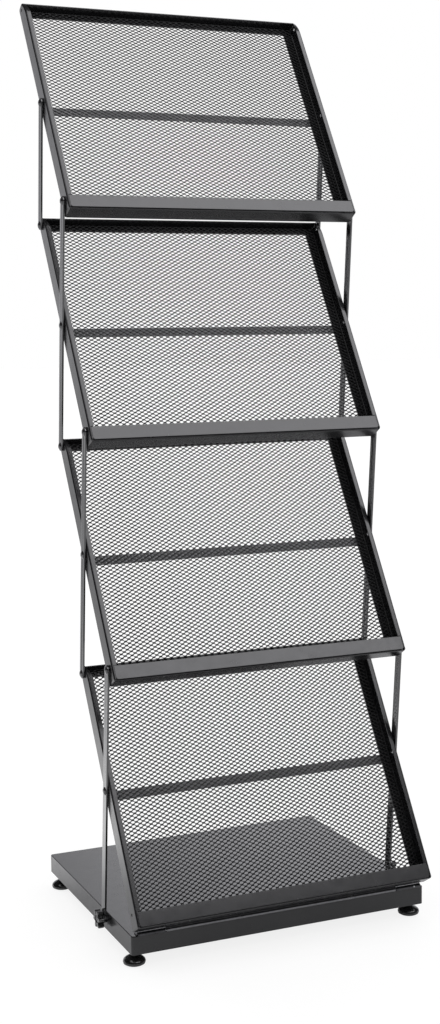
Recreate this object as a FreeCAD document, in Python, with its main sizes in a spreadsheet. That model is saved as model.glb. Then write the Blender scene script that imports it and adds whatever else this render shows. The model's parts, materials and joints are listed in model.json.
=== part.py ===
import FreeCAD, Part
import math
import os
import Sketcher

# Free-standing periodical display rack: a pressed-steel base on four feet and
# four leaning mesh trays, one above the other, carried by flat link bars on
# both sides.  The bars, trays and base form parallelogram links, so the rack
# folds flat once the two clamp knobs at the base are slackened.
# Frame: millimetres, +X to the right, +Y to the back, +Z up, origin on the
# floor under the middle of the whole rack.

doc = FreeCAD.newDocument("PeriodicalRack")
sheet = doc.addObject("Spreadsheet::Sheet", "Sizes")

SIZES = [
    ("tray_width", 480.0, "outside width of every tray and of the base"),
    ("tray_depth", 28.0, "depth of a side rail"),
    ("tray_below", 22.5, "tray end below its lower pivot"),
    ("tray_above", 378.0, "tray end above its lower pivot"),
    ("tray_lean", 58.0, "slope of the trays above the floor, degrees"),
    ("pivot_step", 183.5, "distance between pivots along a tray"),
    ("pivot_front", 16.0, "pivot line to the front face of the lip"),
    ("sheet_gauge", 1.5, "sheet thickness of rails, lips and base"),
    ("rear_flange", 17.5, "width of the flange behind the mesh"),
    ("front_return", 8.0, "width of the return on the front of a side rail"),
    ("lip_height", 23.0, "height of the front lip"),
    ("lip_flange", 15.0, "rear flange of the lip channel"),
    ("top_depth", 17.5, "depth of the top rail"),
    ("top_drop", 1.5, "top rail below the end of the side rails"),
    ("top_flange", 13.5, "rear flange of the top rail"),
    ("curve_start", 345.0, "where the front edge starts to curve in"),
    ("curve_radius", 52.0, "radius of that curve"),
    ("corner_radius", 6.0, "rounded top rear corner of a side rail"),
    ("bend_radius", 1.4, "outside radius of the folds"),
    ("strap_low", 170.0, "lower edge of the strap behind the mesh"),
    ("strap_width", 15.0, "width of that strap"),
    ("strap_half", 232.0, "half length of that strap"),
    ("mesh_gauge", 0.6, "mesh panel, equal-mass thickness"),
    ("mesh_side_gap", 2.0, "mesh edge to side wall"),
    ("hole_radius", 2.45, "pivot hole in a side rail"),
    ("bar_hole_radius", 2.45, "pivot hole in a bar"),
    ("bar_width", 14.5, "width of a link bar"),
    ("bar_gauge", 3.0, "thickness of a link bar"),
    ("bar_gap", 0.6, "side rail to bar"),
    ("bar_half", 185.0, "pivot to pivot along a bar"),
    ("bar_foot", 201.0, "lower pivot of the bottom bar below its middle pivot"),
    ("bar_lean", 95.5, "slope of the bars, degrees from the rear horizontal"),
    ("rivet_radius", 2.40, "rivet shank"),
    ("rivet_head", 6.2, "rivet head radius"),
    ("rivet_dome", 2.4, "rivet head height"),
    ("rivet_play", 0.2, "rivet head to bar"),
    ("tail_radius", 3.3, "rivet tail radius"),
    ("tail_dome", 1.5, "rivet tail height"),
    ("base_depth", 388.0, "front to back length of the base"),
    ("base_low", 22.0, "underside of the base above the floor"),
    ("base_height", 28.0, "height of the base pan"),
    ("base_corner", 4.5, "vertical corner radius of the base"),
    ("base_flange", 25.0, "inturned flange under the base"),
    ("front_offset", -208.63, "front face of the base from the origin"),
    ("pivot_front_y", -2.0, "lowest tray pivot behind the front of the base"),
    ("pivot_front_z", 83.0, "lowest tray pivot above the floor"),
    ("hinge_along", -25.1, "hinge axis below that pivot, along the tray"),
    ("hinge_across", -15.5, "hinge axis behind that pivot, across the tray"),
    ("barrel_radius", 3.5, "hinge barrel"),
    ("pin_radius", 2.0, "hinge pin"),
    ("pin_bore", 2.05, "bore of the hinge barrels"),
    ("tray_barrel_half", 188.5, "half length of the tray's hinge barrel"),
    ("end_barrel_in", 190.0, "inner end of an end barrel"),
    ("end_barrel_out", 232.0, "outer end of an end barrel"),
    ("pin_half", 231.0, "half length of the hinge pin"),
    ("leaf_length", 14.0, "hinge leaf on the base"),
    ("leaf_height", 17.0, "hinge leaf on the tray"),
    ("stud_radius", 3.0, "clamp stud"),
    ("stud_hole", 3.1, "stud hole in base and bar"),
    ("stud_tail", 14.0, "stud inside the base wall"),
    ("nut_radius", 6.4, "weld nut, corner radius"),
    ("nut_height", 5.0, "weld nut"),
    ("knob_radius", 14.6, "clamp knob over its lobes"),
    ("knob_hub", 7.5, "hub radius"),
    ("hub_height", 2.6, "hub between bar and knob"),
    ("knob_height", 8.0, "thickness of the knob"),
    ("knob_play", 0.3, "bar to hub"),
    ("foot_inset_x", 12.0, "foot centre from the side of the base"),
    ("foot_inset_y", 24.0, "foot centre from the end of the base"),
    ("foot_radius", 16.7, "foot pad"),
    ("foot_stem", 4.0, "foot stud"),
    ("foot_stem_top", 44.0, "top of the foot stud above the floor"),
    ("foot_hole", 4.05, "stud hole in the base flange"),
    ("foot_nut", 8.0, "weld nut of a foot, corner radius"),
    ("foot_nut_height", 7.0, "height of that nut"),
]
for row, (alias, value, note) in enumerate(SIZES, start=1):
    sheet.set("A%d" % row, alias)
    sheet.set("B%d" % row, "%g" % value)
    sheet.setAlias("B%d" % row, alias)
    sheet.set("C%d" % row, note)
doc.recompute()


class Dim:
    """A length or angle with its number and the expression it comes from."""

    def __init__(self, value, text):
        self.value = float(value)
        self.text = text

    @staticmethod
    def of(x):
        return x if isinstance(x, Dim) else Dim(x, "%g" % x if x >= 0 else "(%g)" % x)

    def __add__(self, o):
        o = Dim.of(o)
        return Dim(self.value + o.value, "(%s + %s)" % (self.text, o.text))

    def __radd__(self, o):
        return Dim.of(o) + self

    def __sub__(self, o):
        o = Dim.of(o)
        return Dim(self.value - o.value, "(%s - %s)" % (self.text, o.text))

    def __rsub__(self, o):
        return Dim.of(o) - self

    def __mul__(self, o):
        o = Dim.of(o)
        return Dim(self.value * o.value, "(%s * %s)" % (self.text, o.text))

    def __rmul__(self, o):
        return Dim.of(o) * self

    def __truediv__(self, o):
        o = Dim.of(o)
        return Dim(self.value / o.value, "(%s / %s)" % (self.text, o.text))

    def __neg__(self):
        return Dim(-self.value, "(0 - %s)" % self.text)


def cell(alias):
    return Dim(float(sheet.get(alias)), "Sizes.%s" % alias)


def cosine(a):
    return Dim(math.cos(math.radians(a.value)), "cos(%s * 1 deg)" % a.text)


def sine(a):
    return Dim(math.sin(math.radians(a.value)), "sin(%s * 1 deg)" % a.text)


def root(a):
    return Dim(math.sqrt(a.value), "sqrt(%s)" % a.text)


W = cell("tray_width") / 2
T = cell("sheet_gauge")
STEP = cell("pivot_step")
HALF = cell("bar_half")
LEAN = cell("tray_lean")
BAR = cell("bar_lean")
FRONT = cell("pivot_front")
BACK = FRONT - cell("tray_depth")
LOW = -cell("tray_below")
HIGH = cell("tray_above")
LIP_TOP = LOW + cell("lip_height")
TOP_OUT = HIGH - cell("top_drop")
BEND = cell("bend_radius")
Y0 = cell("front_offset")
cL, sL = cosine(LEAN), sine(LEAN)
cB, sB = cosine(BAR), sine(BAR)


def pivot(tray, k):
    """Pivot k (0, 1 or 2 up the tray) of tray 1 to 4, counted from the top."""
    up = 4 - tray
    y = Y0 + cell("pivot_front_y") + (up + k) * STEP * cL + up * HALF * cB
    z = cell("pivot_front_z") + (up + k) * STEP * sL + up * HALF * sB
    return y, z


HINGE_Y = Y0 + cell("pivot_front_y") + cell("hinge_along") * cL - cell("hinge_across") * sL
HINGE_Z = cell("pivot_front_z") + cell("hinge_along") * sL + cell("hinge_across") * cL
BASE_TOP = cell("base_low") + cell("base_height")
m4y, m4z = pivot(4, 1)
KY = m4y - cell("bar_foot") * cB
KZ = m4z - cell("bar_foot") * sB

exported = []


def place(obj, x=0, y=0, z=0, turn=None, axis=(1, 0, 0)):
    """Place a piece and bind its position and turn to the sheet."""
    x, y, z = Dim.of(x), Dim.of(y), Dim.of(z)
    angle = turn.value if turn is not None else 0.0
    obj.Placement = FreeCAD.Placement(
        FreeCAD.Vector(x.value, y.value, z.value),
        FreeCAD.Rotation(FreeCAD.Vector(*axis), angle))
    for key, d in (("x", x), ("y", y), ("z", z)):
        if "Sizes" in d.text:
            obj.setExpression("Placement.Base.%s" % key, d.text)
    if turn is not None and "Sizes" in turn.text:
        obj.setExpression("Placement.Rotation.Angle", turn.text)


def body(name):
    b = doc.addObject("PartDesign::Body", name)
    b.Label = name
    if hasattr(b, "AllowCompound"):
        b.AllowCompound = True
    exported.append(b)
    return b


def plane(b, role):
    for f in b.Origin.OriginFeatures:
        if f.Role == role:
            return f


def sketch(b, role, lift=None):
    s = b.newObject("Sketcher::SketchObject", b.Name + "_sketch")
    s.AttachmentSupport = [(plane(b, role), "")]
    s.MapMode = "FlatFace"
    if lift is not None:
        lift = Dim.of(lift)
        s.AttachmentOffset = FreeCAD.Placement(
            FreeCAD.Vector(0, 0, lift.value), FreeCAD.Rotation())
        s.setExpression("AttachmentOffset.Base.z", lift.text)
    return s


def fix(s, kind, geo, pos, d):
    d = Dim.of(d)
    if abs(d.value) < 1e-9:
        # a point on an axis of the sketch
        s.addConstraint(Sketcher.Constraint(
            "PointOnObject", geo, pos, -2 if kind == "DistanceX" else -1))
        return
    i = s.addConstraint(Sketcher.Constraint(kind, -1, 1, geo, pos, d.value))
    if "Sizes" in d.text:
        s.setExpression("Constraints[%d]" % i, d.text)


def outline(s, points):
    """Closed outline.  A point is (x, y) or (x, y, key, value): then an arc
    runs to the next point, with its centre's x or y, or with 'r' its radius
    (positive when the arc turns left)."""
    pts = [(Dim.of(p[0]), Dim.of(p[1])) + tuple(p[2:]) for p in points]
    n = len(pts)
    ends = []
    for i, p in enumerate(pts):
        q = pts[(i + 1) % n]
        a = FreeCAD.Vector(p[0].value, p[1].value, 0)
        c = FreeCAD.Vector(q[0].value, q[1].value, 0)
        if len(p) == 2:
            g = s.addGeometry(Part.LineSegment(a, c), False)
            ends.append((g, 1, 2))
            continue
        key, val = p[2], Dim.of(p[3])
        mid = (a + c) * 0.5
        d = c - a
        left = FreeCAD.Vector(-d.y, d.x, 0)
        left.normalize()
        half = d.Length / 2
        if key == "cx":
            k = (val.value - mid.x) / left.x
        elif key == "cy":
            k = (val.value - mid.y) / left.y
        else:
            k = math.sqrt(max(val.value ** 2 - half ** 2, 0.0))
            k = k if val.value > 0 else -k
        ctr = mid + left * k
        turn = p[4] if len(p) > 4 else (1 if k >= 0 else -1)
        r = (a - ctr).Length
        t0 = math.atan2(a.y - ctr.y, a.x - ctr.x)
        t1 = math.atan2(c.y - ctr.y, c.x - ctr.x)
        circle = Part.Circle(ctr, FreeCAD.Vector(0, 0, 1), r)
        if turn > 0:
            if t1 <= t0:
                t1 += 2 * math.pi
            g = s.addGeometry(Part.ArcOfCircle(circle, t0, t1), False)
            ends.append((g, 1, 2))
        else:
            if t0 <= t1:
                t0 += 2 * math.pi
            g = s.addGeometry(Part.ArcOfCircle(circle, t1, t0), False)
            ends.append((g, 2, 1))
        if key == "cx":
            fix(s, "DistanceX", g, 3, val)
        elif key == "cy":
            fix(s, "DistanceY", g, 3, val)
        else:
            j = s.addConstraint(Sketcher.Constraint("Radius", g, abs(val.value)))
            if "Sizes" in val.text and val.value > 0:
                s.setExpression("Constraints[%d]" % j, val.text)
    for i in range(n):
        g0, _, e0 = ends[i]
        g1, b1, _ = ends[(i + 1) % n]
        s.addConstraint(Sketcher.Constraint("Coincident", g0, e0, g1, b1))
    for i, p in enumerate(pts):
        g, b0, _ = ends[i]
        fix(s, "DistanceX", g, b0, p[0])
        fix(s, "DistanceY", g, b0, p[1])
    return s


def ring(s, x, y, r):
    """A circle in a sketch."""
    x, y, r = Dim.of(x), Dim.of(y), Dim.of(r)
    g = s.addGeometry(Part.Circle(
        FreeCAD.Vector(x.value, y.value, 0), FreeCAD.Vector(0, 0, 1), r.value), False)
    i = s.addConstraint(Sketcher.Constraint("Radius", g, r.value))
    if "Sizes" in r.text:
        s.setExpression("Constraints[%d]" % i, r.text)
    fix(s, "DistanceX", g, 3, x)
    fix(s, "DistanceY", g, 3, y)
    return s


def box_outline(s, x0, y0, x1, y1):
    return outline(s, [(x0, y0), (x1, y0), (x1, y1), (x0, y1)])


def pad(b, s, length, back=False):
    f = b.newObject("PartDesign::Pad", b.Name + "_pad")
    f.Profile = s
    length = Dim.of(length)
    f.Length = length.value
    if "Sizes" in length.text:
        f.setExpression("Length", length.text)
    f.Reversed = back
    b.Tip = f
    doc.recompute()
    return f


def pocket(b, s, length, back=False):
    before = b.Shape.Volume
    f = b.newObject("PartDesign::Pocket", b.Name + "_pocket")
    f.Profile = s
    length = Dim.of(length)
    f.Length = length.value
    if "Sizes" in length.text:
        f.setExpression("Length", length.text)
    f.Reversed = back
    b.Tip = f
    doc.recompute()
    if b.Shape.Volume > before - 1e-6:
        raise RuntimeError("pocket cuts nothing in " + b.Name)
    return f


def round_edges(b, radius, pick):
    """Round the edges whose middle point is picked by pick(x, y, z)."""
    base = b.Tip
    names = []
    for i, e in enumerate(base.Shape.Edges, start=1):
        if e.Length < 1e-6:
            continue
        u = 0.5 * (e.FirstParameter + e.LastParameter)
        m = e.valueAt(u)
        if pick(m.x, m.y, m.z, e):
            names.append("Edge%d" % i)
    if not names:
        raise RuntimeError("no edge to round in " + b.Name)
    f = b.newObject("PartDesign::Fillet", b.Name + "_fillet")
    f.Base = (base, names)
    radius = Dim.of(radius)
    f.Radius = radius.value
    if "Sizes" in radius.text:
        f.setExpression("Radius", radius.text)
    b.Tip = f
    doc.recompute()
    if f.State and ("Invalid" in f.State or "Error" in f.State):
        raise RuntimeError("fillet failed in " + b.Name)
    return f


def near(a, b):
    return abs(a - b) < 1e-3


# ---------------------------------------------------------------- the trays
# A tray's own frame: X across, Y up along the tray from its lowest pivot,
# Z out of its front.  All four trays are alike; the frame is turned by the
# tray's slope about X and set on its lowest pivot.

FLANGE_FACE = BACK + T                 # face that the mesh lies on
R_CURVE = cell("curve_radius")
S_CURVE = cell("curve_start")
R_BACK = cell("corner_radius")
CURVE_MID = FRONT - R_CURVE
TOP_FRONT = CURVE_MID + root(R_CURVE * R_CURVE - (HIGH - S_CURVE) * (HIGH - S_CURVE))
R_IN = R_CURVE - T
TOP_FRONT_IN = CURVE_MID + root(R_IN * R_IN - (HIGH - S_CURVE) * (HIGH - S_CURVE))


def side_rail(tray, side):
    """Folded channel: wall, flange behind the mesh and a narrow front return
    that follows the curved front edge at the top."""
    b = body("tray_%d_%s_rail" % (tray, side))
    back = side == "right"
    sgn = -1 if back else 1
    # wall
    s = sketch(b, "YZ_Plane")
    outline(s, [
        (LOW, BACK),
        (HIGH - R_BACK, BACK, "cx", HIGH - R_BACK),
        (HIGH, BACK + R_BACK),
        (HIGH, TOP_FRONT, "cx", S_CURVE),
        (S_CURVE, FRONT),
        (LIP_TOP, FRONT),
        (LIP_TOP, FRONT - T),
        (LOW, FRONT - T)])
    for k in range(3):
        ring(s, k * STEP if k else 0, 0, cell("hole_radius"))
    pad(b, s, T, back)
    # flange behind the mesh
    s = sketch(b, "YZ_Plane")
    box_outline(s, LOW + T, BACK, TOP_OUT - T, FLANGE_FACE)
    pad(b, s, cell("rear_flange"), back)
    # front return
    s = sketch(b, "YZ_Plane")
    outline(s, [
        (LIP_TOP, FRONT - T),
        (S_CURVE, FRONT - T, "cx", S_CURVE),
        (HIGH, TOP_FRONT_IN),
        (HIGH, TOP_FRONT, "cx", S_CURVE),
        (S_CURVE, FRONT),
        (LIP_TOP, FRONT)])
    pad(b, s, cell("front_return"), back)
    # the return's inner edge runs out to the wall over the curve
    s = sketch(b, "XY_Plane")
    ret = cell("front_return")
    outline(s, [
        (sgn * ret, S_CURVE - 4),
        (sgn * (ret - 2.2), S_CURVE + 10),
        (sgn * (T + 1.2), HIGH - 5),
        (sgn * (T + 0.2), HIGH + 1),
        (sgn * (ret + 2), HIGH + 1),
        (sgn * (ret + 2), S_CURVE - 4)])
    pocket(b, s, FRONT + 2, True)
    # folds
    round_edges(b, BEND, lambda x, y, z, e: abs(x) < 1e-3 and y < S_CURVE.value + 1
                and LIP_TOP.value + 1 < y and near(z, FRONT.value))
    round_edges(b, BEND, lambda x, y, z, e: abs(x) < 1e-3 and near(z, BACK.value)
                and 20 < y < 350)
    place(b, -W if side == "left" else W, *pivot(tray, 0), turn=LEAN)
    return b


def front_lip(tray):
    """Channel along the foot of the tray: shelf, front lip, rear flange."""
    b = body("tray_%d_front_lip" % tray)
    s = sketch(b, "YZ_Plane", -W)
    outline(s, [(LOW, FRONT - T), (LIP_TOP, FRONT - T), (LIP_TOP, FRONT), (LOW, FRONT)])
    pad(b, s, 2 * W)
    s = sketch(b, "YZ_Plane", -(W - T))
    outline(s, [(LOW, BACK), (LOW + T, BACK), (LOW + T, FRONT), (LOW, FRONT)])
    pad(b, s, 2 * (W - T))
    inner = W - cell("rear_flange")
    s = sketch(b, "YZ_Plane", -inner)
    outline(s, [(LOW, BACK), (LOW + cell("lip_flange"), BACK),
                (LOW + cell("lip_flange"), FLANGE_FACE), (LOW, FLANGE_FACE)])
    pad(b, s, 2 * inner)
    round_edges(b, BEND, lambda x, y, z, e: near(y, LOW.value) and near(z, FRONT.value))
    round_edges(b, BEND, lambda x, y, z, e: near(y, LOW.value) and near(z, BACK.value))
    place(b, 0, *pivot(tray, 0), turn=LEAN)
    return b


def top_rail(tray):
    """Angle along the top of the tray."""
    b = body("tray_%d_top_rail" % tray)
    s = sketch(b, "YZ_Plane", -(W - T))
    box_outline(s, TOP_OUT - T, BACK, TOP_OUT, BACK + cell("top_depth"))
    pad(b, s, 2 * (W - T))
    inner = W - cell("rear_flange")
    s = sketch(b, "YZ_Plane", -inner)
    box_outline(s, TOP_OUT - cell("top_flange"), BACK, TOP_OUT, FLANGE_FACE)
    pad(b, s, 2 * inner)
    round_edges(b, BEND, lambda x, y, z, e: near(y, TOP_OUT.value) and near(z, BACK.value))
    place(b, 0, *pivot(tray, 0), turn=LEAN)
    return b


def strap(tray):
    """Flat strap across the back, behind the mesh and the side flanges."""
    b = body("tray_%d_rear_strap" % tray)
    half = cell("strap_half")
    low = cell("strap_low")
    s = sketch(b, "XY_Plane", BACK - T)
    box_outline(s, -half, low, half, low + cell("strap_width"))
    pad(b, s, T)
    place(b, 0, *pivot(tray, 0), turn=LEAN)
    return b


def mesh(tray):
    """Mesh panel on the flanges; a plain sheet of the same mass."""
    b = body("tray_%d_mesh" % tray)
    half = W - T - cell("mesh_side_gap")
    s = sketch(b, "XY_Plane", FLANGE_FACE)
    box_outline(s, -half, LOW + T + 1, half, TOP_OUT - T - 1)
    pad(b, s, cell("mesh_gauge"))
    place(b, 0, *pivot(tray, 0), turn=LEAN)
    return b


SEAT = W + cell("bar_gap") + cell("bar_gauge") + cell("rivet_play")


def rivets(tray, first, count):
    """Pivot rivets of a tray, on both sides."""
    b = body("tray_%d_rivets" % tray)
    made = []
    for sgn in (1, -1):
        s = sketch(b, "XY_Plane")
        y = first * STEP if first else Dim.of(0)
        tail = sgn * (W - T)
        shank, head = cell("rivet_radius"), cell("rivet_head")
        # half section; the rivet's axis is the line at height y
        pts = [
            (tail - sgn * cell("tail_dome"), y, "cy", y),
            (tail, y + cell("tail_radius")),
            (tail, y + shank),
            (sgn * SEAT, y + shank),
            (sgn * SEAT, y + head, "cy", y),
            (sgn * SEAT + sgn * cell("rivet_dome"), y)]
        outline(s, pts)
        f = b.newObject("PartDesign::Revolution", b.Name + "_rev")
        f.Profile = s
        if first:
            line = s.addGeometry(Part.LineSegment(
                FreeCAD.Vector(-20, y.value, 0), FreeCAD.Vector(20, y.value, 0)), True)
            s.addConstraint(Sketcher.Constraint("Horizontal", line))
            fix(s, "DistanceX", line, 1, -20)
            fix(s, "DistanceX", line, 2, 20)
            fix(s, "DistanceY", line, 1, y)
            f.ReferenceAxis = (s, ["Axis0"])
        else:
            f.ReferenceAxis = (s, ["H_Axis"])
        f.Angle = 360.0
        b.Tip = f
        doc.recompute()
        made.append(f)
    # the same pair again at every pivot up the tray
    p = b.newObject("PartDesign::LinearPattern", b.Name + "_pattern")
    p.Originals = made
    p.Direction = (plane(b, "Y_Axis"), [""])
    p.Length = (count - 1) * STEP.value
    p.setExpression("Length", (STEP * (count - 1)).text)
    p.Occurrences = count
    b.Tip = p
    doc.recompute()
    place(b, 0, *pivot(tray, 0), turn=LEAN)
    return b


for tray in (1, 2, 3, 4):
    side_rail(tray, "left")
    side_rail(tray, "right")
    front_lip(tray)
    top_rail(tray)
    strap(tray)
    mesh(tray)
rivets(1, 0, 2)
rivets(2, 0, 3)
rivets(3, 0, 3)
rivets(4, 1, 2)

# ----------------------------------------------------------------- the bars
# A bar's own frame: Y along the bar from its middle pivot, Z across it
# towards the front, X through its thickness.


def bar(name, side, low, high, where, slot=False):
    b = body("%s_bar_%s" % (name, side))
    h = cell("bar_width") / 2
    s = sketch(b, "YZ_Plane")
    outline(s, [
        (-low, -h), (high, -h, "cx", high, 1),
        (high, h), (-low, h, "cx", -low, 1)])
    stops = [Dim.of(0)]
    if high.value > 0:
        stops.append(high)
    if low.value > 0 and not slot:
        stops.append(-low)
    for y in stops:
        ring(s, y, 0, cell("bar_hole_radius"))
    pad(b, s, cell("bar_gauge"))
    if slot:
        # open slot that lets the bar swing back off the clamp stud
        r = cell("stud_hole")
        s = sketch(b, "YZ_Plane")
        ring(s, -low, 0, r)
        pocket(b, s, cell("bar_gauge"), True)
        s = sketch(b, "YZ_Plane")
        outline(s, [(-low - r, 0), (-low + r, 0), (-low + r + 5, h + 1), (-low - r, h + 1)])
        pocket(b, s, cell("bar_gauge"), True)
    x = W + cell("bar_gap")
    place(b, x if side == "right" else -x - cell("bar_gauge"), *where, turn=BAR)
    return b


NONE = Dim.of(0)
for side in ("left", "right"):
    bar("lower", side, cell("bar_foot"), HALF, pivot(4, 1), slot=True)
    bar("second", side, HALF, HALF, pivot(3, 1))
    bar("third", side, HALF, HALF, pivot(2, 1))
    bar("upper", side, HALF, NONE, pivot(1, 1))

# ----------------------------------------------------------------- the base

base = body("base_pan")
RC = cell("base_corner")
D = cell("base_depth")


def round_rect(s, hx, y0, y1, r):
    return outline(s, [
        (-hx + r, y0), (hx - r, y0, "cx", hx - r), (hx, y0 + r), (hx, y1 - r, "cx", hx - r),
        (hx - r, y1), (-hx + r, y1, "cx", -hx + r), (-hx, y1 - r), (-hx, y0 + r, "cx", -hx + r)])


s = sketch(base, "XY_Plane")
round_rect(s, W, Dim.of(0), D, RC)
pad(base, s, cell("base_height"))
round_edges(base, BEND, lambda x, y, z, e: near(z, cell("base_height").value))
# the hollow inside, closed below for now
s = sketch(base, "XY_Plane", T)
round_rect(s, W - T, T, D - T, RC - T)
pocket(base, s, cell("base_height") - 2 * T, True)
# the opening between the inturned flanges
s = sketch(base, "XY_Plane")
fl = cell("base_flange")
box_outline(s, -(W - fl), fl, W - fl, D - fl)
pocket(base, s, T, True)
# foot holes in the flanges
FX = W - cell("foot_inset_x")
FY0 = cell("foot_inset_y")
FY1 = D - cell("foot_inset_y")
s = sketch(base, "XY_Plane")
for x in (-FX, FX):
    for y in (FY0, FY1):
        ring(s, x, y, cell("foot_hole"))
pocket(base, s, T, True)
# stud holes in the side walls
s = sketch(base, "YZ_Plane", -W)
ring(s, KY - Y0, KZ - cell("base_low"), cell("stud_hole"))
pocket(base, s, T, True)
s = sketch(base, "YZ_Plane", W)
ring(s, KY - Y0, KZ - cell("base_low"), cell("stud_hole"))
pocket(base, s, T)
place(base, 0, Y0, cell("base_low"))

# hinge: barrels welded to the base at both ends, one long barrel on the tray
for side, x0 in (("left", -cell("end_barrel_out")), ("right", cell("end_barrel_in"))):
    b = body("hinge_barrel_%s" % side)
    r = cell("barrel_radius")
    s = sketch(b, "YZ_Plane", x0)
    ring(s, 0, 0, r)
    pad(b, s, cell("end_barrel_out") - cell("end_barrel_in"))
    s = sketch(b, "YZ_Plane", x0)
    box_outline(s, 0, -r, cell("leaf_length"), T - r)
    pad(b, s, cell("end_barrel_out") - cell("end_barrel_in"))
    s = sketch(b, "YZ_Plane", x0)
    ring(s, 0, 0, cell("pin_bore"))
    pocket(b, s, cell("end_barrel_out") - cell("end_barrel_in"), True)
    place(b, 0, HINGE_Y, HINGE_Z)

b = body("tray_4_hinge_leaf")
half = cell("tray_barrel_half")
r = cell("barrel_radius")
s = sketch(b, "YZ_Plane", -half)
ring(s, 0, 0, r)
pad(b, s, 2 * half)
s = sketch(b, "YZ_Plane", -half)
box_outline(s, 0, r - T, cell("leaf_height"), r)
pad(b, s, 2 * half)
s = sketch(b, "YZ_Plane", -half)
ring(s, 0, 0, cell("pin_bore"))
pocket(b, s, 2 * half, True)
place(b, 0, HINGE_Y, HINGE_Z, turn=LEAN)

b = body("hinge_pin")
s = sketch(b, "YZ_Plane", -cell("pin_half"))
ring(s, 0, 0, cell("pin_radius"))
pad(b, s, 2 * cell("pin_half"))
place(b, 0, HINGE_Y, HINGE_Z)


def hexagon(s, x, y, r, hole):
    pts = []
    for k in range(6):
        a = math.radians(60 * k)
        pts.append((x + r * math.cos(a), y + r * math.sin(a)))
    outline(s, pts)
    ring(s, x, y, hole)


# clamp nuts welded inside the side walls of the base
b = body("clamp_nuts")
for x0 in (-(W - T), W - T - cell("nut_height")):
    s = sketch(b, "YZ_Plane", x0)
    hexagon(s, Dim.of(0), Dim.of(0), cell("nut_radius"), cell("stud_radius") + 0.05)
    pad(b, s, cell("nut_height"))
place(b, 0, KY, KZ)

# clamp knobs: a star-shaped moulded head with a hub, on a steel stud
HUB = W + cell("bar_gap") + cell("bar_gauge") + cell("knob_play")
for side, sgn in (("left", -1), ("right", 1)):
    stud = body("clamp_stud_%s" % side)
    s = sketch(stud, "YZ_Plane", sgn * (W - T - cell("stud_tail")))
    ring(s, 0, 0, cell("stud_radius"))
    pad(stud, s, HUB - W + T + cell("stud_tail"), side == "left")
    place(stud, 0, KY, KZ)

    knob = body("clamp_knob_%s" % side)
    s = sketch(knob, "YZ_Plane", sgn * HUB)
    ring(s, 0, 0, cell("knob_hub"))
    pad(knob, s, cell("hub_height") + cell("knob_height"), side == "left")
    s = sketch(knob, "YZ_Plane", sgn * (HUB + cell("hub_height")))
    lobes = 6
    rk = cell("knob_radius")
    pts = []
    for k in range(lobes):
        a = 360.0 / lobes * k
        for da, f in ((-14, 0.94), (-7, 0.99), (7, 0.99), (14, 0.94), (22, 0.80), (30, 0.745), (38, 0.80)):
            t = math.radians(a + da)
            pts.append((rk * (f * math.cos(t)), rk * (f * math.sin(t))))
    outline(s, pts)
    pad(knob, s, cell("knob_height"), side == "left")
    place(knob, 0, KY, KZ)

# feet: a domed pad on a threaded stud, in a weld nut on the base flange
for name, x, y in (("front_left", -FX, FY0), ("front_right", FX, FY0),
                   ("rear_left", -FX, FY1), ("rear_right", FX, FY1)):
    b = body("foot_%s" % name)
    s = sketch(b, "XZ_Plane")
    r = cell("foot_radius")
    outline(s, [
        (0, 0), (r - 3.5, 0), (r - 0.8, 1.6), (r, 4.4), (r - 0.9, 7.2), (r - 3.6, 9.8),
        (r - 7.5, 12.0), (r - 11.0, 13.6), (r - 11.0, cell("base_low") - 0.2),
        (cell("foot_stem"), cell("base_low") - 0.2), (cell("foot_stem"), cell("foot_stem_top")),
        (0, cell("foot_stem_top"))])
    f = b.newObject("PartDesign::Revolution", b.Name + "_rev")
    f.Profile = s
    f.ReferenceAxis = (s, ["V_Axis"])
    f.Angle = 360.0
    b.Tip = f
    doc.recompute()
    place(b, x, Y0 + y, 0)

b = body("foot_nuts")
for x in (-FX, FX):
    for y in (FY0, FY1):
        s = sketch(b, "XY_Plane")
        hexagon(s, x, y, cell("foot_nut"), cell("foot_hole"))
        pad(b, s, cell("foot_nut_height"))
place(b, 0, Y0, cell("base_low") + T)

# --------------------------------------------------------------- the checks
doc.recompute()
faults = []
for obj in doc.Objects:
    if "Invalid" in obj.State or "Error" in obj.State:
        faults.append("%s: %s" % (obj.Label, obj.State))
for b in exported:
    if b.Shape.isNull() or not b.Shape.isValid():
        faults.append("%s: bad shape" % b.Label)
if faults:
    raise RuntimeError("; ".join(faults))

os.makedirs("parts", exist_ok=True)
whole = FreeCAD.BoundBox()
for b in exported:
    b.Shape.exportStep("parts/%s.step" % b.Label)
    whole.add(b.Shape.BoundBox)
    print("%-24s solids %d volume %.0f" % (b.Label, len(b.Shape.Solids), b.Shape.Volume))
print("pieces", len(exported), "box", [round(v, 2) for v in (
    whole.XMin, whole.XMax, whole.YMin, whole.YMax, whole.ZMin, whole.ZMax)])
print("hinge", round(HINGE_Y.value, 4), round(HINGE_Z.value, 4), "clamp", round(KY.value, 4), round(KZ.value, 4))
for tray in (4, 3, 2, 1):
    print("tray", tray, [tuple(round(c.value, 4) for c in pivot(tray, k)) for k in range(3)])
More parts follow.
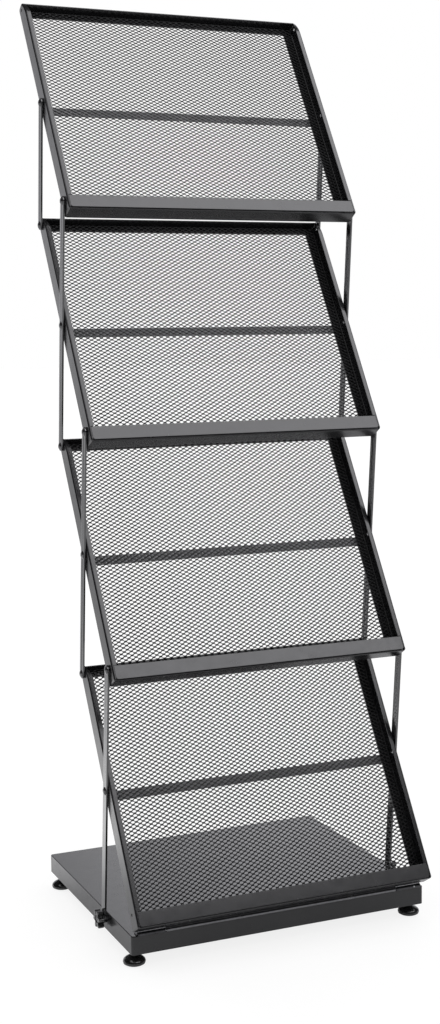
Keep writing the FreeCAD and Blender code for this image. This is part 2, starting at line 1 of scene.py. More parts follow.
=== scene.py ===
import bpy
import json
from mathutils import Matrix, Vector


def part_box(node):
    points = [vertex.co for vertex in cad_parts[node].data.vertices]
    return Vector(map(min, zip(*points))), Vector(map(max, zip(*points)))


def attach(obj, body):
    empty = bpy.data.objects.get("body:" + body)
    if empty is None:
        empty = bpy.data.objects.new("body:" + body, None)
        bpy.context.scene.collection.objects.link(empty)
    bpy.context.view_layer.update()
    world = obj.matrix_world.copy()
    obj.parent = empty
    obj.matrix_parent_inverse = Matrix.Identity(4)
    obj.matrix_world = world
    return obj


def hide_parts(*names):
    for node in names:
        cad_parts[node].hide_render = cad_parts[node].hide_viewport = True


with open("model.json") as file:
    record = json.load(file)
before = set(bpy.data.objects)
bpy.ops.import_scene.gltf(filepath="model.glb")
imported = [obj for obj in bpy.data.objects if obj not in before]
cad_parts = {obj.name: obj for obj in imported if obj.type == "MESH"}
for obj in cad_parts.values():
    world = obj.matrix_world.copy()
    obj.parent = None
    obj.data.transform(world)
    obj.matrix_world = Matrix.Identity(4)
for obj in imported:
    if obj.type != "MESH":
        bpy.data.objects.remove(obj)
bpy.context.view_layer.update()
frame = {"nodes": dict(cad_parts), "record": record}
import json
import math

import bmesh
import bpy
import numpy as np
from mathutils import Matrix, Vector

NODES = frame["nodes"]
SLOT = {s["node"]: s["material_slot"] for s in frame["record"]["subparts"]}
scene = bpy.context.scene

# The trays lean 58 degrees: S runs up a tray, N out of its mesh to the front.
LEAN = math.radians(58.0)
S = Vector((0.0, math.cos(LEAN), math.sin(LEAN)))
N = Vector((0.0, -math.sin(LEAN), math.cos(LEAN)))
FOOT_PIVOT = {1: (0.02790, 1.10230), 2: (-0.05161, 0.76253), 3: (-0.13112, 0.42277), 4: (-0.21063, 0.08300)}


def tray_matrix(tray):
    """Tray frame to row frame: X across, Y up the tray, Z out to the front."""
    y, z = FOOT_PIVOT[tray]
    m = Matrix.Identity(4)
    for row, vec in enumerate(zip((1, 0, 0), S, N)):
        for col in range(3):
            m[row][col] = vec[col]
    m.translation = (0.0, y, z)
    return m


# ---------------------------------------------------------------- materials

def material(name):
    m = bpy.data.materials.new(name)
    m.use_nodes = True
    nt = m.node_tree
    return m, nt, nt.nodes["Principled BSDF"]


def add(nt, kind, **values):
    n = nt.nodes.new(kind)
    for k, v in values.items():
        if k in n.inputs:
            n.inputs[k].default_value = v
        else:
            setattr(n, k, v)
    return n


def noise(nt, coord, scale, detail=3.0, rough=0.55):
    n = add(nt, "ShaderNodeTexNoise", Scale=scale, Detail=detail, Roughness=rough)
    nt.links.new(coord, n.inputs["Vector"])
    return n.outputs["Fac"]


def ramp(nt, fac, stops):
    n = nt.nodes.new("ShaderNodeValToRGB")
    els = n.color_ramp.elements
    while len(els) < len(stops):
        els.new(0.5)
    for e, (pos, col) in zip(els, stops):
        e.position = pos
        e.color = (col, col, col, 1) if isinstance(col, float) else tuple(col) + (1,)
    nt.links.new(fac, n.inputs["Fac"])
    return n.outputs["Color"]


def to_range(nt, fac, lo, hi, a=0.3, b=0.7):
    n = add(nt, "ShaderNodeMapRange")
    n.inputs["From Min"].default_value = a
    n.inputs["From Max"].default_value = b
    n.inputs["To Min"].default_value = lo
    n.inputs["To Max"].default_value = hi
    nt.links.new(fac, n.inputs["Value"])
    return n.outputs["Result"]


def bump(nt, height, strength, distance, after=None):
    n = add(nt, "ShaderNodeBump", Strength=strength, Distance=distance)
    nt.links.new(height, n.inputs["Height"])
    if after is not None:
        nt.links.new(after, n.inputs["Normal"])
    return n.outputs["Normal"]


def powder_coat(name, dark, light, rough_lo, rough_hi, peel=0.10, grain=0.12):
    """Cured powder: a slight orange peel, a finer grain in it, and patches
    where the film lies a little thicker and glossier."""
    m, nt, p = material(name)
    obj = nt.nodes.new("ShaderNodeTexCoord").outputs["Object"]
    patches = noise(nt, obj, 22.0, 3.0)
    nt.links.new(ramp(nt, patches, [(0.30, dark), (0.72, light)]), p.inputs["Base Color"])
    nt.links.new(to_range(nt, noise(nt, obj, 60.0, 4.0), rough_lo, rough_hi), p.inputs["Roughness"])
    n1 = bump(nt, noise(nt, obj, 700.0, 2.0), peel, 0.00012)
    n2 = bump(nt, noise(nt, obj, 2600.0, 2.0), grain, 0.00004, n1)
    nt.links.new(n2, p.inputs["Normal"])
    p.inputs["IOR"].default_value = 1.5
    return m


coat = powder_coat("powder_coat", (0.0042, 0.0042, 0.0046), (0.0066, 0.0066, 0.0072), 0.19, 0.28)
coat_bar = powder_coat("powder_coat_bar", (0.0042, 0.0042, 0.0046), (0.0066, 0.0066, 0.0072), 0.12, 0.20)
coat_bar.node_tree.nodes["Principled BSDF"].inputs["IOR"].default_value = 1.95
# Painted light: the strap is the same black coat, coloured mid grey so that it shows lit behind the mesh.
strap_coat_painted_light = powder_coat("powder_coat_strap_painted_light", (0.105, 0.105, 0.108), (0.135, 0.135, 0.139), 0.28, 0.38)
coat_mesh = powder_coat("powder_coat_mesh", (0.008, 0.008, 0.0085), (0.014, 0.014, 0.015), 0.34, 0.46)
coat_mesh.node_tree.nodes["Principled BSDF"].inputs["IOR"].default_value = 1.40


def rivet_material():
    """Blackened head outside, bright turned-over tail inside."""
    m, nt, p = material("rivet")
    obj = nt.nodes.new("ShaderNodeTexCoord").outputs["Object"]
    sep = nt.nodes.new("ShaderNodeSeparateXYZ")
    nt.links.new(obj, sep.inputs[0])
    ab = add(nt, "ShaderNodeMath", operation="ABSOLUTE")
    nt.links.new(sep.outputs["X"], ab.inputs[0])
    head = add(nt, "ShaderNodeMath", operation="GREATER_THAN")
    head.inputs[1].default_value = 0.2415
    nt.links.new(ab.outputs[0], head.inputs[0])
    scratch = noise(nt, obj, 900.0, 4.0)
    bright = ramp(nt, scratch, [(0.35, (0.50, 0.50, 0.51)), (0.65, (0.74, 0.74, 0.75))])
    mix = add(nt, "ShaderNodeMix", data_type="RGBA")
    nt.links.new(head.outputs[0], mix.inputs["Factor"])
    nt.links.new(bright, mix.inputs[6])
    black = ramp(nt, scratch, [(0.35, (0.010, 0.010, 0.011)), (0.65, (0.016, 0.016, 0.017))])
    nt.links.new(black, mix.inputs[7])
    nt.links.new(mix.outputs[2], p.inputs["Base Color"])
    metal = add(nt, "ShaderNodeMath", operation="SUBTRACT")
    metal.inputs[0].default_value = 1.0
    nt.links.new(head.outputs[0], metal.inputs[1])
    nt.links.new(metal.outputs[0], p.inputs["Metallic"])
    nt.links.new(to_range(nt, scratch, 0.12, 0.24), p.inputs["Roughness"])
    p.inputs["IOR"].default_value = 1.65
    nt.links.new(bump(nt, noise(nt, obj, 1500.0, 3.0), 0.15, 0.00005), p.inputs["Normal"])
    return m


def plated_steel(name, dark, light):
    """Zinc plate, slightly cloudy, with turning marks."""
    m, nt, p = material(name)
    obj = nt.nodes.new("ShaderNodeTexCoord").outputs["Object"]
    cloud = noise(nt, obj, 240.0, 4.0)
    nt.links.new(ramp(nt, cloud, [(0.3, dark), (0.7, light)]), p.inputs["Base Color"])
    p.inputs["Metallic"].default_value = 1.0
    nt.links.new(to_range(nt, noise(nt, obj, 420.0, 3.0), 0.26, 0.42), p.inputs["Roughness"])
    nt.links.new(bump(nt, noise(nt, obj, 2200.0, 2.0), 0.2, 0.00004), p.inputs["Normal"])
    return m


def hinge_leaf():
    """Painted leaf whose barrel is coloured as bare steel: a painted highlight for the bright line along
    it.
    """
    m = powder_coat("hinge_leaf", (0.0042, 0.0042, 0.0046), (0.0066, 0.0066, 0.0072), 0.19, 0.28)
    nt = m.node_tree
    p = nt.nodes["Principled BSDF"]
    obj = nt.nodes.new("ShaderNodeTexCoord").outputs["Object"]
    sep = nt.nodes.new("ShaderNodeSeparateXYZ")
    nt.links.new(obj, sep.inputs[0])
    flat = nt.nodes.new("ShaderNodeCombineXYZ")
    nt.links.new(sep.outputs["Y"], flat.inputs["Y"])
    nt.links.new(sep.outputs["Z"], flat.inputs["Z"])
    away = add(nt, "ShaderNodeVectorMath", operation="DISTANCE")
    nt.links.new(flat.outputs[0], away.inputs[0])
    away.inputs[1].default_value = (0.0, -0.210786, 0.0535)
    # painted highlight: within about 4 mm of the hinge axis the leaf takes a bare steel colour and turns
    # metal
    barrel_highlight = to_range(nt, away.outputs["Value"], 1.0, 0.0, 0.0037, 0.0042)
    paint = p.inputs["Base Color"].links[0].from_socket
    steel = ramp(nt, noise(nt, obj, 240.0, 4.0), [(0.3, (0.13, 0.13, 0.135)), (0.7, (0.19, 0.19, 0.195))])
    mix = add(nt, "ShaderNodeMix", data_type="RGBA")
    nt.links.new(barrel_highlight, mix.inputs["Factor"])
    nt.links.new(paint, mix.inputs[6])
    nt.links.new(steel, mix.inputs[7])
    nt.links.new(mix.outputs[2], p.inputs["Base Color"])
    nt.links.new(barrel_highlight, p.inputs["Metallic"])
    return m


def moulded(name, dark, light, rough_lo, rough_hi, grain, size):
    """Moulded plastic with the grain of its tool."""
    m, nt, p = material(name)
    obj = nt.nodes.new("ShaderNodeTexCoord").outputs["Object"]
    nt.links.new(ramp(nt, noise(nt, obj, 90.0, 2.0), [(0.3, dark), (0.7, light)]), p.inputs["Base Color"])
    nt.links.new(to_range(nt, noise(nt, obj, 160.0, 3.0), rough_lo, rough_hi), p.inputs["Roughness"])
    vor = add(nt, "ShaderNodeTexVoronoi", Scale=size)
    nt.links.new(obj, vor.inputs["Vector"])
    nt.links.new(bump(nt, vor.outputs["Distance"], grain, 0.00005), p.inputs["Normal"])
    return m


rivet_mat = rivet_material()
zinc = plated_steel("zinc_plate", (0.36, 0.36, 0.37), (0.52, 0.52, 0.53))
# A darker copy of the zinc plate. On the left pin stop it is painted shade, dark where the right stop has
# bright zinc for its glint; the base's end barrels take it too.
zinc_painted_dark = plated_steel("zinc_painted_dark", (0.045, 0.045, 0.048), (0.08, 0.08, 0.084))
leaf_mat = hinge_leaf()
knob_mat = moulded("knob_plastic", (0.005, 0.005, 0.005), (0.008, 0.008, 0.008), 0.11, 0.19, 0.15, 1700.0)
foot_mat = moulded("foot_plastic", (0.004, 0.004, 0.004), (0.007, 0.007, 0.007), 0.10, 0.18, 0.04, 1200.0)

knob_mat.node_tree.nodes["Principled BSDF"].inputs["IOR"].default_value = 1.85
foot_mat.node_tree.nodes["Principled BSDF"].inputs["IOR"].default_value = 1.65

BY_SLOT = {
    "powder_coat_black": coat,
    "mesh_black": coat_mesh,
    "rivet_steel": rivet_mat,
    "plated_steel": zinc,
    "knob_plastic": knob_mat,
    "foot_plastic": foot_mat,
}


def dress(node, width, angle=38.0, segments=2):
    """The CAD node as it is, with its edges eased as bent, coated sheet has
    them and its normals smoothed."""
    o = NODES[node]
    me = o.data
    me.materials.clear()
    me.materials.append(BY_SLOT[SLOT[node]])
    if "custom_normal" in me.attributes:
        me.attributes.remove(me.attributes["custom_normal"])
    me.polygons.foreach_set("use_smooth", [True] * len(me.polygons))
    w = o.modifiers.new("weld", "WELD")
    w.merge_threshold = 1e-6
    if width > 0:
        b = o.modifiers.new("edge", "BEVEL")
        b.width = width
        b.segments = segments
        b.limit_method = "ANGLE"
        b.angle_limit = math.radians(angle)
        b.use_clamp_overlap = True
    n = o.modifiers.new("normals", "WEIGHTED_NORMAL")
    n.mode = "FACE_AREA"
    n.weight = 100
    n.keep_sharp = True


for name in NODES:
    if name.endswith(("_mesh", "_left_rail", "_right_rail", "_front_lip", "_top_rail")) or name.startswith("clamp_knob"):
        continue
    if name.endswith("_strap"):
        dress(name, 0.00055)
    elif name.startswith("base_pan"):
        dress(name, 0.0012, segments=3)
    elif "_bar_" in name:
        dress(name, 0.0006)
        NODES[name].data.materials[0] = coat_bar
    elif name.endswith("_rivets"):
        dress(name, 0.00015)
    elif name.startswith("foot_"):
        dress(name, 0.0003)
    else:
        dress(name, 0.0002)
# painted light: the rear straps take the lightened copy of the black coat
for tray in (1, 2, 3, 4):
    NODES["tray_%d_rear_strap" % tray].data.materials[0] = strap_coat_painted_light
NODES["tray_4_hinge_leaf"].data.materials[0] = leaf_mat
# the base's end barrels take the darkened copy of the zinc plate
for word in ("left", "right"):
    NODES["hinge_barrel_" + word].data.materials[0] = zinc_painted_dark


# ------------------------------------------------- pressed rails and lips

MM = 0.001
LOW, HIGH, BACK, FRONT = -22.5, 378.0, -12.0, 16.0
TOP_OUT, TOP_LOW, TOP_FRONT = 376.5, 363.0, 5.5
WALL, GAUGE, BEND = 240.0, 1.5, 2.8
TIP = 3.15                 # narrowest fold, just past its bend
CURVE_S, CURVE_R = 345.0, 52.0
SPAN = WALL - TIP - 0.15   # half length of the pieces between two rails


def arc(cx, cy, r, a0, a1, n):
    return [(cx + r * math.cos(math.radians(a0 + (a1 - a0) * i / n)), cy + r * math.sin(math.radians(a0 + (a1 - a0) * i / n))) for i in range(n + 1)]


def return_width(s):
    """Front return: full width up the tray, run out towards the top."""
    for (s0, w0), (s1, w1) in zip(RETURN, RETURN[1:]):
        if s <= s1:
            return w0 + (w1 - w0) * max(s - s0, 0) / (s1 - s0)
    return TIP


RETURN = [(0.0, 8.0), (350.0, 8.0), (362.0, 6.8), (370.0, 5.0), (375.5, TIP)]


def rail_outline():
    """Side view of a rail in tray coordinates (s, n), counter-clockwise, each
    point with the width of the flange that is folded in there."""
    r_foot, r_rear, r_tip = 3.2, 6.0, 3.6
    pts = [(p, TIP) for p in arc(LOW + r_foot, BACK + r_foot, r_foot, 180, 270, 8)]
    pts += [((-7.2, BACK), TIP), ((-7.1, BACK), 17.5)]
    pts += [((s, BACK), 17.5) for s in (60.0, 140.0, 220.0, 300.0)]
    pts += [((HIGH - r_rear - 0.6, BACK), 17.5), ((HIGH - r_rear - 0.5, BACK), TIP)]
    pts += [(p, TIP) for p in arc(HIGH - r_rear, BACK + r_rear, r_rear, 270, 360, 9)]
    # the big curve of the front edge runs into a tight one at the top
    cy = FRONT - CURVE_R
    sx = HIGH - r_tip
    sy = cy + math.sqrt((CURVE_R - r_tip) ** 2 - (sx - CURVE_S) ** 2)
    join = math.degrees(math.atan2(sy - cy, sx - CURVE_S))
    pts += [(p, return_width(p[0])) for p in arc(sx, sy, r_tip, 0, join, 6)]
    pts += [(p, return_width(p[0])) for p in arc(CURVE_S, cy, CURVE_R, join, 90, 16)[1:]]
    pts += [((s, FRONT), 8.0) for s in (300.0, 220.0, 140.0, 60.0, 1.3)]
    pts += [((s, FRONT), TIP) for s in (1.2, -10.0)]
    pts += [(p, TIP) for p in arc(LOW + r_foot, FRONT - r_foot, r_foot, 90, 180, 8)]
    return pts


def smooth_piece(name, bm, ease, mat, tray, body, angle=50.0):
    me = bpy.data.meshes.new(name)
    for f in bm.faces:
        f.smooth = True
    bm.to_mesh(me)
    bm.free()
    if tray is not None:
        me.transform(tray_matrix(tray))
    me.materials.append(mat)
    o = bpy.data.objects.new(name, me)
    scene.collection.objects.link(o)
    if ease:
        m = o.modifiers.new("edge", "BEVEL")
        m.width = ease
        m.segments = 2
        m.limit_method = "ANGLE"
        m.angle_limit = math.radians(angle)
    m = o.modifiers.new("normals", "WEIGHTED_NORMAL")
    m.mode = "FACE_AREA"
    m.weight = 100
    m.keep_sharp = True
    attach(o, body)
    return o


def rail_mesh(side, holes):
    """One closed sheet: wall, bends and folded-in flanges."""
    bm = bmesh.new()
    pts = rail_outline()
    count = len(pts)
    inner = BEND - GAUGE
    rings = []
    for i, ((s, n), width) in enumerate(pts):
        (ps, pn), (qs, qn) = pts[i - 1][0], pts[(i + 1) % count][0]
        t = Vector((qs - ps, qn - pn)).normalized()
        into = Vector((-t.y, t.x))         # counter-clockwise outline
        chain = [(WALL - BEND + BEND * math.cos(a), BEND - BEND * math.sin(a)) for a in (math.radians(15 * k) for k in range(7))]
        # the front return springs back a little and stands proud at its free edge
        lift = 0.063 * (width - TIP) if n > 0 else 0.0
        chain += [(WALL - width, -lift), (WALL - width, GAUGE - lift)]
        chain += [(WALL - BEND + inner * math.cos(a), BEND - inner * math.sin(a)) for a in (math.radians(90 - 22.5 * k) for k in range(5))]
        rings.append([bm.verts.new((side * x * MM, (s + into.x * off) * MM, (n + into.y * off) * MM)) for x, off in chain])
    for i in range(count):
        p, q = rings[i], rings[(i + 1) % count]
        for k in range(len(p) - 1):
            bm.faces.new((p[k], q[k], q[k + 1], p[k + 1]))
    rims = []
    for x, k in ((WALL, 0), (WALL - GAUGE, -1)):
        edges = [bm.edges.get((rings[i][k], rings[(i + 1) % count][k])) for i in range(count)]
        loops = []
        for s in holes:
            loop = [bm.verts.new((side * x * MM, (s + 2.45 * math.cos(a)) * MM, 2.45 * math.sin(a) * MM)) for a in [math.radians(20 * j) for j in range(18)]]
            edges += [bm.edges.new((loop[j], loop[(j + 1) % 18])) for j in range(18)]
            loops.append(loop)
        bmesh.ops.triangle_fill(bm, use_beauty=True, use_dissolve=False, edges=edges)
        rims.append(loops)
    for a, b in zip(*rims):
        for j in range(18):
            bm.faces.new((a[j], a[(j + 1) % 18], b[(j + 1) % 18], b[j]))
    bmesh.ops.recalc_face_normals(bm, faces=bm.faces)
    return bm


def lip_plate():
    """Front plate of the lip with round lower corners, let in between the
    folded edges of the rails."""
    low, high, r = -20.7, 0.5, 4.0
    out = arc(SPAN - r, low + r, r, 0, -90, 8)
    out += [(-x, y) for x, y in reversed(out)]
    out += [(-SPAN, high - 0.4), (-SPAN + 0.4, high), (SPAN - 0.4, high), (SPAN, high - 0.4)]
    bm = bmesh.new()
    back = [bm.verts.new((x * MM, s * MM, (FRONT - 1.4) * MM)) for x, s in out]
    front = [bm.verts.new((x * MM, s * MM, FRONT * MM)) for x, s in out]
    c = len(out)
    for i in range(c):
        j = (i + 1) % c
        bm.faces.new((back[i], back[j], front[j], front[i]))
    bm.faces.new(front)
    bm.faces.new(back[::-1])
    bmesh.ops.recalc_face_normals(bm, faces=bm.faces)
    return bm


def channel(path, half):
    """A folded strip across the tray. The path is the middle of the sheet,
    (n, s) from one free edge to the other."""
    bm = bmesh.new()
    count = len(path)
    ring = []
    for side in (1, -1):
        line = []
        for i, (n, s) in enumerate(path):
            (pn, ps), (qn, qs) = path[max(i - 1, 0)], path[min(i + 1, count - 1)]
            t = Vector((qn - pn, qs - ps)).normalized()
            line.append((n - side * t.y * GAUGE / 2, s + side * t.x * GAUGE / 2))
        ring += line if side > 0 else line[::-1]
    stations = [-half, -half * 0.5, 0.0, half * 0.5, half]
    rows = [[bm.verts.new((x * MM, s * MM, n * MM)) for n, s in ring] for x in stations]
    for a, b in zip(rows, rows[1:]):
        for i in range(len(ring)):
            j = (i + 1) % len(ring)
            bm.faces.new((a[i], b[i], b[j], a[j]))
    for row in (rows[0], rows[-1]):
        for i in range(count - 1):
            bm.faces.new((row[i], row[i + 1], row[-2 - i], row[-1 - i]))
    bmesh.ops.recalc_face_normals(bm, faces=bm.faces)
    return bm


def lip_path():
    """Rear flange, shelf and the fold behind the front plate."""
    h = GAUGE / 2
    path = [(BACK + h, -7.5), (BACK + h, -14.0)]
    path += arc(BACK + 2.8, LOW + 2.8, 2.8 - h, 180, 270, 6)
    path += [(0.0, LOW + h)]
    path += arc(13.4 - 1.7, LOW + 1.7, 1.7 - h, -90, 0, 6)
    path += [(13.4 - h, -12.0)]
    return path


def top_path():
    """Top wall and the flange behind the mesh."""
    h = GAUGE / 2
    path = [(TOP_FRONT, TOP_OUT - h), (-4.0, TOP_OUT - h)]
    path += arc(BACK + 2.4, TOP_OUT - 2.4, 2.4 - h, 90, 180, 6)
    path += [(BACK + h, TOP_LOW)]
    return path


for tray in (1, 2, 3, 4):
    name, body = "tray_%d_" % tray, "tray_%d" % tray
    holes = {1: (367.0,), 4: (0.0,)}.get(tray, ())
    for side, word in ((-1, "left"), (1, "right")):
        o = smooth_piece(name + word + "_rail_sheet", rail_mesh(side, holes), 0.00035, coat, tray, body)
        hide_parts(name + word + "_rail")
    o = smooth_piece(name + "lip_channel", channel(lip_path(), SPAN), 0.00035, coat, tray, body)
    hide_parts(name + "front_lip")
    smooth_piece(name + "lip_plate", lip_plate(), 0.0005, coat, tray, body)
    o = smooth_piece(name + "top_angle", channel(top_path(), SPAN), 0.00035, coat, tray, body)
    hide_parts(name + "top_rail")


# -------------------------------------------------------------- clamp knobs

def star_knob(side):
    """Six-lobed hand knob with a hub, rounded edges and a sunk centre."""
    y0, z0 = KNOB
    n = 120

    def star(a):
        c = math.cos(6 * a)
        return 11.2 + 3.35 * math.copysign(abs(c) ** 0.85, c)

    rings = [(243.95, "hub", 0.5), (244.1, "hub", 0.0), (244.8, "hub", 0.0), (244.95, "star", 2.6), (245.0, "star", 1.5), (245.35, "star", 0.6), (246.0, "star", 0.12), (246.8, "star", 0.0), (252.4, "star", 0.0), (253.3, "star", 0.15), (254.0, "star", 0.6), (254.4, "star", 1.4), (254.48, "star", 2.6), (254.48, "boss", 6.6), (254.3, "boss", 6.2), (253.4, "boss", 5.9), (253.2, "boss", 5.4), (253.2, "boss", 2.4), (253.6, "boss", 2.1), (253.8, "boss", 1.6)]
    bm = bmesh.new()
    rows = []
    for x, kind, v in rings:
        row = []
        for i in range(n):
            a = 2 * math.pi * i / n
            r = {"hub": 7.5 - v, "star": star(a + math.radians(8)) - v, "boss": v}[kind]
            row.append(bm.verts.new((side * x * MM, y0 + r * math.cos(a) * MM, z0 + r * math.sin(a) * MM)))
        rows.append(row)
    for p, q in zip(rows, rows[1:]):
        for i in range(n):
            j = (i + 1) % n
            bm.faces.new((p[i], p[j], q[j], q[i]))
    bm.faces.new(rows[0])
    bm.faces.new(rows[-1])
    bmesh.ops.recalc_face_normals(bm, faces=bm.faces)
    return bm


_lo, _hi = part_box("clamp_knob_left")
KNOB = ((_lo.y + _hi.y) / 2, (_lo.z + _hi.z) / 2)
for side, word in ((-1, "left"), (1, "right")):
    o = smooth_piece("star_knob_" + word, star_knob(side), 0, knob_mat, None, "knob_" + word)
    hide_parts("clamp_knob_" + word)


# ----------------------------------------------------------------- pin ends

def pin_stop(x):
    """Small upset head that keeps the hinge pin in its end barrel."""
    y0, z0 = -0.2143, 0.0543
    profile = [(1.75, 0.0), (1.7, 0.35), (1.4, 0.8), (0.85, 1.1), (0.3, 1.2)]
    bm = bmesh.new()
    rows = [[bm.verts.new((x + r * math.cos(a) * MM, y0 - d * MM, z0 + r * math.sin(a) * MM)) for a in [2 * math.pi * i / 24 for i in range(24)]] for r, d in profile]
    for p, q in zip(rows, rows[1:]):
        for i in range(24):
            j = (i + 1) % 24
            bm.faces.new((p[i], p[j], q[j], q[i]))
    bm.faces.new(rows[0])
    bm.faces.new(rows[-1])
    bmesh.ops.recalc_face_normals(bm, faces=bm.faces)
    return bm


# painted shade: the left stop takes the darkened zinc, the right stop the bright zinc for its glint
for word, x, mat in (("left", -0.2285, zinc_painted_dark), ("right", 0.2205, zinc)):
    smooth_piece("pin_stop_" + word, pin_stop(x), 0, mat, None, "base")


# ------------------------------------------------------------ expanded mesh

LONG_WAY, SHORT_WAY = 0.0109, 0.0064


def expanded_metal(name, half_width, low, high, face, strand=0.00112, gauge=0.0020, bond=0.0030, tilt=42.0):
    """Expanded steel sheet in tray coordinates. Every row is one cut strand
    that runs across the tray and meets its two neighbours at the bonds,
    going from the back of the sheet to its front between them."""
    half = LONG_WAY / 2
    pitch = SHORT_WAY / 2
    a = math.radians(tilt)
    wide = Vector((math.cos(a), math.sin(a))) * strand / 2
    thick = Vector((-math.sin(a), math.cos(a))) * gauge / 2
    corners = [wide + thick, -wide + thick, -wide - thick, wide - thick]
    reach = wide.x + thick.x * -1          # half height of the section up the tray
    rise = max(c.y for c in corners)
    rows = int((high - low) / pitch)
    spare = (high - low - rows * pitch) / 2
    cells = int(2 * half_width / half)
    left = -cells * half / 2
    verts, faces = [], []
    step = 0.94 * (abs(wide.x) + 0.0)      # a strand's centre from the bond line
    for r in range(rows):
        s0 = low + spare + r * pitch
        ring = []
        for c in range(cells + 1):
            x = left + c * half
            up = (c + r) % 2 == 1
            s = s0 + pitch - step if up else s0 + step
            out = face + rise + (0.0 if up else 2 * wide.y)
            for dx in (-bond / 2, bond / 2):
                xx = min(max(x + dx, -half_width), half_width)
                base = len(verts)
                for q in corners:
                    verts.append((xx, s + q.x, out + q.y))
                ring.append(base)
        for i in range(len(ring) - 1):
            p, q = ring[i], ring[i + 1]
            for k in range(4):
                k2 = (k + 1) % 4
                faces.append((p + k, p + k2, q + k2, q + k))
        p, q = ring[0], ring[-1]
        faces.append((p + 3, p + 2, p + 1, p))
        faces.append((q, q + 1, q + 2, q + 3))
    me = bpy.data.meshes.new(name)
    me.from_pydata(verts, [], faces)
    me.update()
    me.materials.append(coat_mesh)
    return me


panel = expanded_metal("expanded_metal", 0.2365, -0.0200, 0.3740, -0.01045)
for tray in (1, 2, 3, 4):
    o = bpy.data.objects.new("tray_%d_expanded_mesh" % tray, panel)
    scene.collection.objects.link(o)
    o.matrix_world = tray_matrix(tray)
    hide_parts("tray_%d_mesh" % tray)
    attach(o, "tray_%d" % tray)


# ------------------------------------------------------------ floor, backdrop

def floor_material():
    """Pale paper that glows. In reflections it is painted brighter and glows far behind the rack on the
    left: painted light where the sweep of a studio backdrop would stand."""
    m, nt, p = material("floor")
    obj = nt.nodes.new("ShaderNodeTexCoord").outputs["Object"]
    sep = nt.nodes.new("ShaderNodeSeparateXYZ")
    nt.links.new(obj, sep.inputs[0])
    paper = ramp(nt, noise(nt, obj, 3.0, 2.0), [(0.3, (0.17, 0.17, 0.17)), (0.7, (0.18, 0.18, 0.18))])
    # painted light in reflections: left of the rack the floor glows in a band behind it, elsewhere only
    # faintly
    along = to_range(nt, sep.outputs["Y"], 0.0, 1.0, -0.5, 2.5)
    left = ramp(nt, along, [(0.20, 0.25), (0.30, 1.35), (0.48, 0.85), (0.76, 0.10)])
    rest = ramp(nt, along, [(0.10, 0.12), (0.76, 0.10)])
    beside = to_range(nt, sep.outputs["X"], 1.0, 0.0, -0.35, -0.10)
    far = add(nt, "ShaderNodeMix", data_type="RGBA")
    nt.links.new(beside, far.inputs["Factor"])
    nt.links.new(rest, far.inputs[6])
    nt.links.new(left, far.inputs[7])
    far = far.outputs[2]
    # painted reflection: glossy rays see the floor coloured 0.68, other rays the paper's 0.17
    path = nt.nodes.new("ShaderNodeLightPath")
    mix = add(nt, "ShaderNodeMix", data_type="RGBA")
    nt.links.new(path.outputs["Is Glossy Ray"], mix.inputs["Factor"])
    nt.links.new(paper, mix.inputs[6])
    mix.inputs[7].default_value = (0.68, 0.68, 0.70, 1.0)
    nt.links.new(mix.outputs[2], p.inputs["Base Color"])
    # it glows as well: evenly to camera and diffuse rays, which is what keeps its shadows faint, and to
    # glossy rays in the painted band above
    glow = add(nt, "ShaderNodeMix", data_type="FLOAT")
    nt.links.new(path.outputs["Is Glossy Ray"], glow.inputs["Factor"])
    glow.inputs[2].default_value = 0.83
    nt.links.new(far, glow.inputs[3])
    p.inputs["Emission Color"].default_value = (1.0, 1.0, 1.0, 1.0)
    nt.links.new(glow.outputs[0], p.inputs["Emission Strength"])
    p.inputs["Roughness"].default_value = 0.85
    p.inputs["Specular IOR Level"].default_value = 0.1
    return m


me = bpy.data.meshes.new("floor")
me.from_pydata([(-30, -30, 0), (30, -30, 0), (30, 30, 0), (-30, 30, 0)], [], [(0, 1, 2, 3)])
me.materials.append(floor_material())
floor = bpy.data.objects.new("floor", me)
scene.collection.objects.link(floor)

# ------------------------------------------------------------------- lights

world = bpy.data.worlds.new("studio")
scene.world = world
world.use_nodes = True
wt = world.node_tree
wt.nodes.clear()
direction = wt.nodes.new("ShaderNodeTexCoord").outputs["Generated"]
sep = wt.nodes.new("ShaderNodeSeparateXYZ")
wt.links.new(direction, sep.inputs[0])
# reflections see a room that is white behind the rack and dark in front
depth = to_range(wt, sep.outputs["Y"], 0.03, 1.0, 0.30, 0.85)
height = to_range(wt, sep.outputs["Z"], 1.2, 0.82, -0.05, 0.20)
width = to_range(wt, sep.outputs["X"], 1.0, 2.2, 0.27, 0.41)
part = add(wt, "ShaderNodeMath", operation="MULTIPLY")
wt.links.new(depth, part.inputs[0])
wt.links.new(height, part.inputs[1])
both = add(wt, "ShaderNodeMath", operation="MULTIPLY")
wt.links.new(part.outputs[0], both.inputs[0])
wt.links.new(width, both.inputs[1])
# and dark again high up on the left
corner = add(wt, "ShaderNodeMath", operation="MULTIPLY_ADD")
corner.inputs[1].default_value = -0.6
wt.links.new(sep.outputs["X"], corner.inputs[0])
wt.links.new(sep.outputs["Z"], corner.inputs[2])
fade = to_range(wt, corner.outputs[0], 1.0, 0.10, 0.41, 0.55)
level = add(wt, "ShaderNodeMath", operation="MULTIPLY")
wt.links.new(both.outputs[0], level.inputs[0])
wt.links.new(fade, level.inputs[1])
room = wt.nodes.new("ShaderNodeBackground")
room.inputs["Color"].default_value = (0.985, 0.985, 1.025, 1.0)
wt.links.new(level.outputs[0], room.inputs["Strength"])
even = wt.nodes.new("ShaderNodeBackground")
even.inputs["Color"].default_value = (1.0, 1.0, 1.0, 1.0)
even.inputs["Strength"].default_value = 1.16
seen = wt.nodes.new("ShaderNodeBackground")
seen.inputs["Color"].default_value = (1.0, 1.0, 1.0, 1.0)
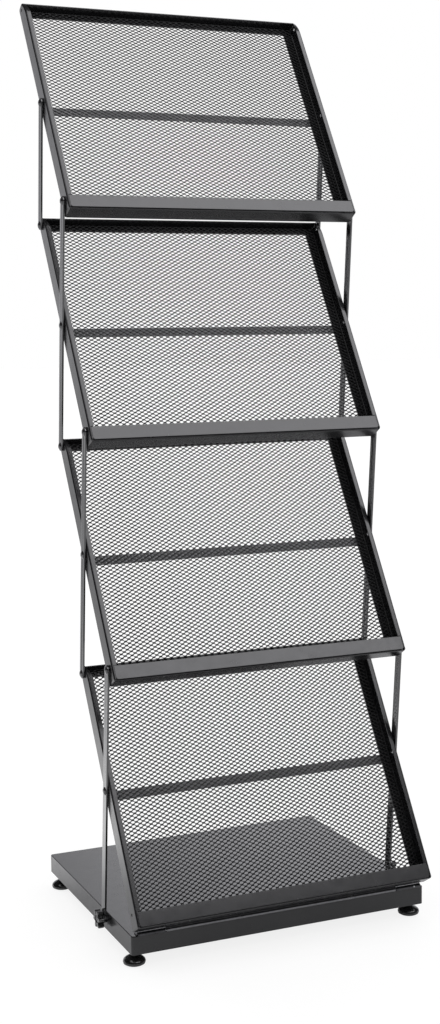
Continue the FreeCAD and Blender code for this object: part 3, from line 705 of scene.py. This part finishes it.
seen.inputs["Strength"].default_value = 1.0
path = wt.nodes.new("ShaderNodeLightPath")
soft = wt.nodes.new("ShaderNodeMixShader")
wt.links.new(path.outputs["Is Diffuse Ray"], soft.inputs["Fac"])
wt.links.new(room.outputs[0], soft.inputs[1])
wt.links.new(even.outputs[0], soft.inputs[2])
pick = wt.nodes.new("ShaderNodeMixShader")
wt.links.new(path.outputs["Is Camera Ray"], pick.inputs["Fac"])
wt.links.new(soft.outputs[0], pick.inputs[1])
wt.links.new(seen.outputs[0], pick.inputs[2])
out = wt.nodes.new("ShaderNodeOutputWorld")
wt.links.new(pick.outputs[0], out.inputs["Surface"])
world.cycles.sampling_method = "NONE"


def softbox(name, place, target, width, height, luminance):
    d = bpy.data.lights.new(name, "AREA")
    d.shape = "RECTANGLE"
    d.size = width
    d.size_y = height
    d.energy = luminance * math.pi * width * height
    o = bpy.data.objects.new(name, d)
    scene.collection.objects.link(o)
    o.location = place
    o.rotation_euler = (Vector(target) - Vector(place)).to_track_quat("-Z", "Y").to_euler()
    return o


top = softbox("top_box", (1.35, -1.55, 3.05), (1.35, -1.54, 0.0), 2.9, 3.4, 4.1)
fill = softbox("fill_box", (-1.10, -1.55, 3.05), (-1.10, -1.54, 0.0), 2.0, 3.4, 1.3)
# the floor keeps the even light of the room
unlit = bpy.data.collections.new("even_light_only")
unlit.objects.link(floor)
unlit.collection_objects[0].light_linking.link_state = "EXCLUDE"
for lamp in (top, fill):
    lamp.data.color = (1.0, 0.995, 1.025)
    lamp.light_linking.receiver_collection = unlit

# ------------------------------------------------------------------- camera

cam = bpy.data.cameras.new("camera")
eye = bpy.data.objects.new("camera", cam)
scene.collection.objects.link(eye)
scene.camera = eye
PX, (CX, CY) = 1563.065, (221.456, 500.408)
yaw, pitch, roll = (math.radians(v) for v in (23.471, -6.453, -0.666))
fwd = Vector((math.sin(yaw) * math.cos(pitch), math.cos(yaw) * math.cos(pitch), math.sin(pitch)))
right0 = Vector((math.cos(yaw), -math.sin(yaw), 0.0))
up0 = right0.cross(fwd)
right = right0 * math.cos(roll) + up0 * math.sin(roll)
up = -right0 * math.sin(roll) + up0 * math.cos(roll)
m = Matrix.Identity(4)
for row in range(3):
    m[row][0], m[row][1], m[row][2] = right[row], up[row], -fwd[row]
m.translation = (-0.970604, -2.230704, 0.918334)
eye.matrix_world = m
cam.sensor_fit = "AUTO"
cam.sensor_width = 36.0
cam.lens = PX * 36.0 / 1024
cam.shift_x = (220 - CX) / 1024
cam.shift_y = (CY - 512) / 1024
cam.clip_start = 0.05
cam.clip_end = 100.0

scene.view_settings.view_transform = "Standard"
scene.view_settings.look = "None"
